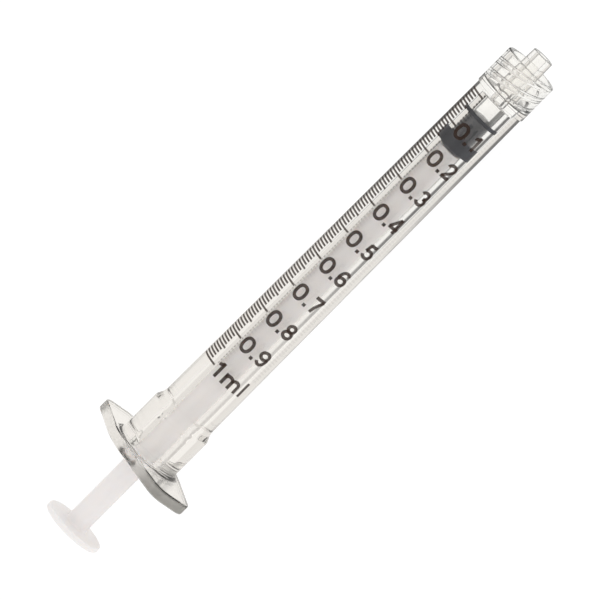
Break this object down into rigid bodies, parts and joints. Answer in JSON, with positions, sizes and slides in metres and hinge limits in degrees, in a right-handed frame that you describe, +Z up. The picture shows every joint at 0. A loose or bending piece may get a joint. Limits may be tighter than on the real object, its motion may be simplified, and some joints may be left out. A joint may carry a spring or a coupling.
{
  "type": "luer lock syringe",
  "caption": "Small graduated syringe: clear barrel with finger flange and threaded lock collar round a tapered tip, rubber stopper, round plunger rod with thumb disc.",
  "frame": {"origin": "under the middle of the syringe's length, on the surface that the flange's edge stands on", "axes": "+X along the syringe's axis towards the tip, Y along the finger flange's long axis, +Z up, square to the flange's flat sides"},
  "size_m": [0.1128, 0.0274, 0.0142],
  "materials": {
    "clear_plastic": "clear moulded polypropylene, polished",
    "dark_rubber": "dark grey siliconed rubber",
    "white_plastic": "translucent white polypropylene, fine satin",
    "scale_ink": "dark brown printed ink"
  },
  "bodies": {
    "barrel": {"barrel": "clear_plastic"},
    "stopper": {"stopper": "dark_rubber"},
    "plunger": {"plunger_rod": "white_plastic"}
  },
  "joints": [
    {"name": "plunger_slide", "type": "slide", "parent": "barrel", "child": "stopper", "axis": [1, 0, 0], "range_m": [-0.065, 0.0029]},
    {"name": "rod_spin", "type": "hinge", "parent": "stopper", "child": "plunger", "pos_m": [0.037, 0, 0.0071], "axis": [1, 0, 0], "continuous": true}
  ]
}
